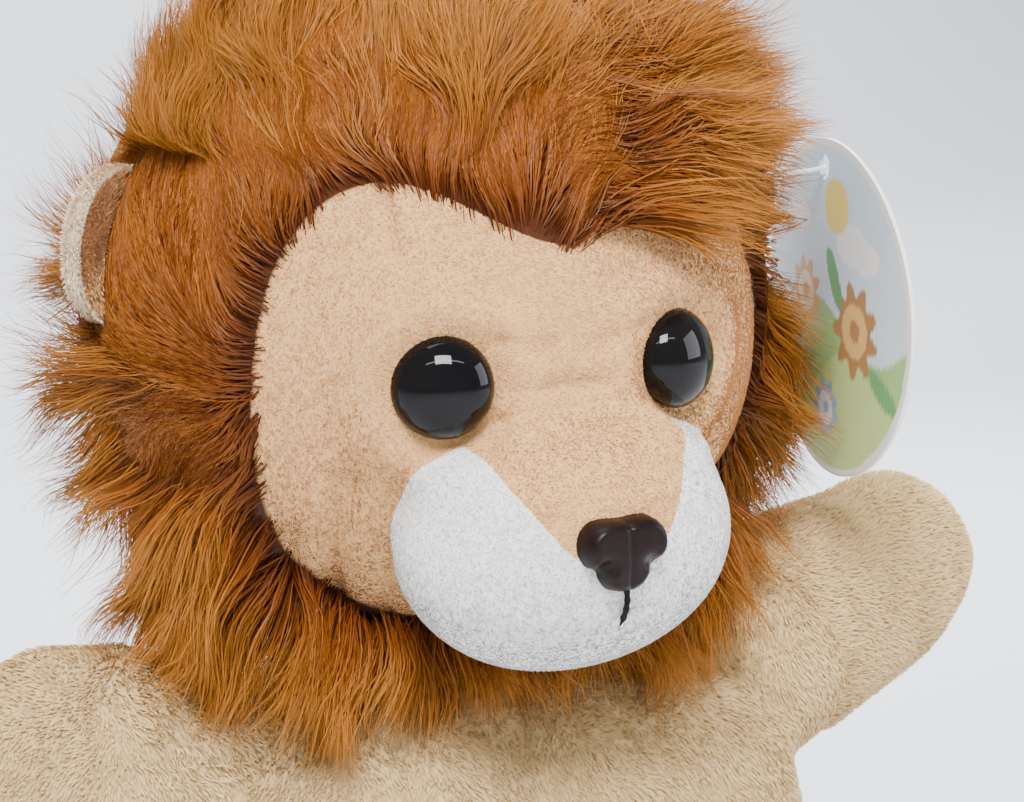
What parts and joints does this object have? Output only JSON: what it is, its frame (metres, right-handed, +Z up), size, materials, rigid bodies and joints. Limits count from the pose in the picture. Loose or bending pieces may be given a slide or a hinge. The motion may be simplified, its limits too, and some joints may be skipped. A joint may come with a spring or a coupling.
{
  "type": "glove puppet",
  "caption": "Plush lion glove puppet: stuffed head with a long-pile mane, bead eyes and moulded nose on a hollow fabric glove with two finger sleeves for arms.",
  "frame": {"origin": "middle of the whole puppet's footprint, on the surface that the hem stands on", "axes": "+Z up; the lion faces -Y; the lion's own left arm and the hang tag are on +X"},
  "size_m": [0.2038, 0.1242, 0.245],
  "materials": {
    "beige_plush": "matte",
    "white_plush": "matte",
    "cream_plush": "matte",
    "mane_fur": "matte",
    "stuffing_fibre": "matte",
    "lining_cloth": "matte",
    "eye_plastic": "gloss",
    "nose_plastic": "satin",
    "washer_plastic": "satin",
    "black_thread": "matte",
    "tag_card": "satin",
    "clear_plastic": "gloss",
    "label_satin": "satin"
  },
  "bodies": {
    "glove": {"glove_front": "beige_plush", "glove_back": "beige_plush", "care_label": "label_satin"},
    "neck": {"neck_sleeve": "beige_plush"},
    "head": {"head_stuffing": "stuffing_fibre", "head_finger_pocket": "lining_cloth", "face_panel": "beige_plush", "muzzle_bridge": "beige_plush", "muzzle_cheeks": "white_plush", "nose": "nose_plastic", "nose_washer": "washer_plastic", "mouth_stitch": "black_thread", "mane_crown": "mane_fur", "mane_beard": "mane_fur", "mane_side_left": "mane_fur", "mane_side_right": "mane_fur", "mane_back": "mane_fur", "eye_left": "eye_plastic", "eye_right": "eye_plastic", "eye_washer_left": "washer_plastic", "eye_washer_right": "washer_plastic", "ear_front_left": "beige_plush", "ear_back_left": "cream_plush", "ear_front_right": "beige_plush", "ear_back_right": "cream_plush", "tag_fastener": "clear_plastic"},
    "shoulder_left": {"shoulder_sleeve_left": "beige_plush"},
    "arm_left": {"arm_front_left": "beige_plush", "arm_back_left": "beige_plush"},
    "shoulder_right": {"shoulder_sleeve_right": "beige_plush"},
    "arm_right": {"arm_front_right": "beige_plush", "arm_back_right": "beige_plush"},
    "tag": {"hang_tag": "tag_card"}
  },
  "joints": [
    {"name": "head_turn", "type": "hinge", "parent": "glove", "child": "neck", "pos_m": [0.00107, 0.0011, 0.118], "axis": [0, 0, 1], "range_deg": [-30, 30], "stiffness_Nm_per_rad": 0.25},
    {"name": "head_nod", "type": "hinge", "parent": "neck", "child": "head", "pos_m": [0.00107, 0.0011, 0.118], "axis": [1, 0, 0], "range_deg": [-18, 18], "stiffness_Nm_per_rad": 0.4},
    {"name": "arm_left_swing", "type": "hinge", "parent": "glove", "child": "shoulder_left", "pos_m": [0.05707, 0.0011, 0.112], "axis": [0, 0, -1], "range_deg": [-15, 50], "stiffness_Nm_per_rad": 0.06},
    {"name": "arm_left_raise", "type": "hinge", "parent": "shoulder_left", "child": "arm_left", "pos_m": [0.05707, 0.0011, 0.112], "axis": [0, -1, 0], "range_deg": [-50, 16], "stiffness_Nm_per_rad": 0.06},
    {"name": "arm_right_swing", "type": "hinge", "parent": "glove", "child": "shoulder_right", "pos_m": [-0.05493, 0.0011, 0.112], "axis": [0, 0, 1], "range_deg": [-15, 50], "stiffness_Nm_per_rad": 0.06},
    {"name": "arm_right_raise", "type": "hinge", "parent": "shoulder_right", "child": "arm_right", "pos_m": [-0.05493, 0.0011, 0.112], "axis": [0, 1, 0], "range_deg": [-28, 45], "stiffness_Nm_per_rad": 0.06},
    {"name": "tag_swing", "type": "hinge", "parent": "head", "child": "tag", "pos_m": [0.06607, -0.0169, 0.196], "axis": [-0.1736, -0.9848, 0], "range_deg": [0, 50]}
  ]
}
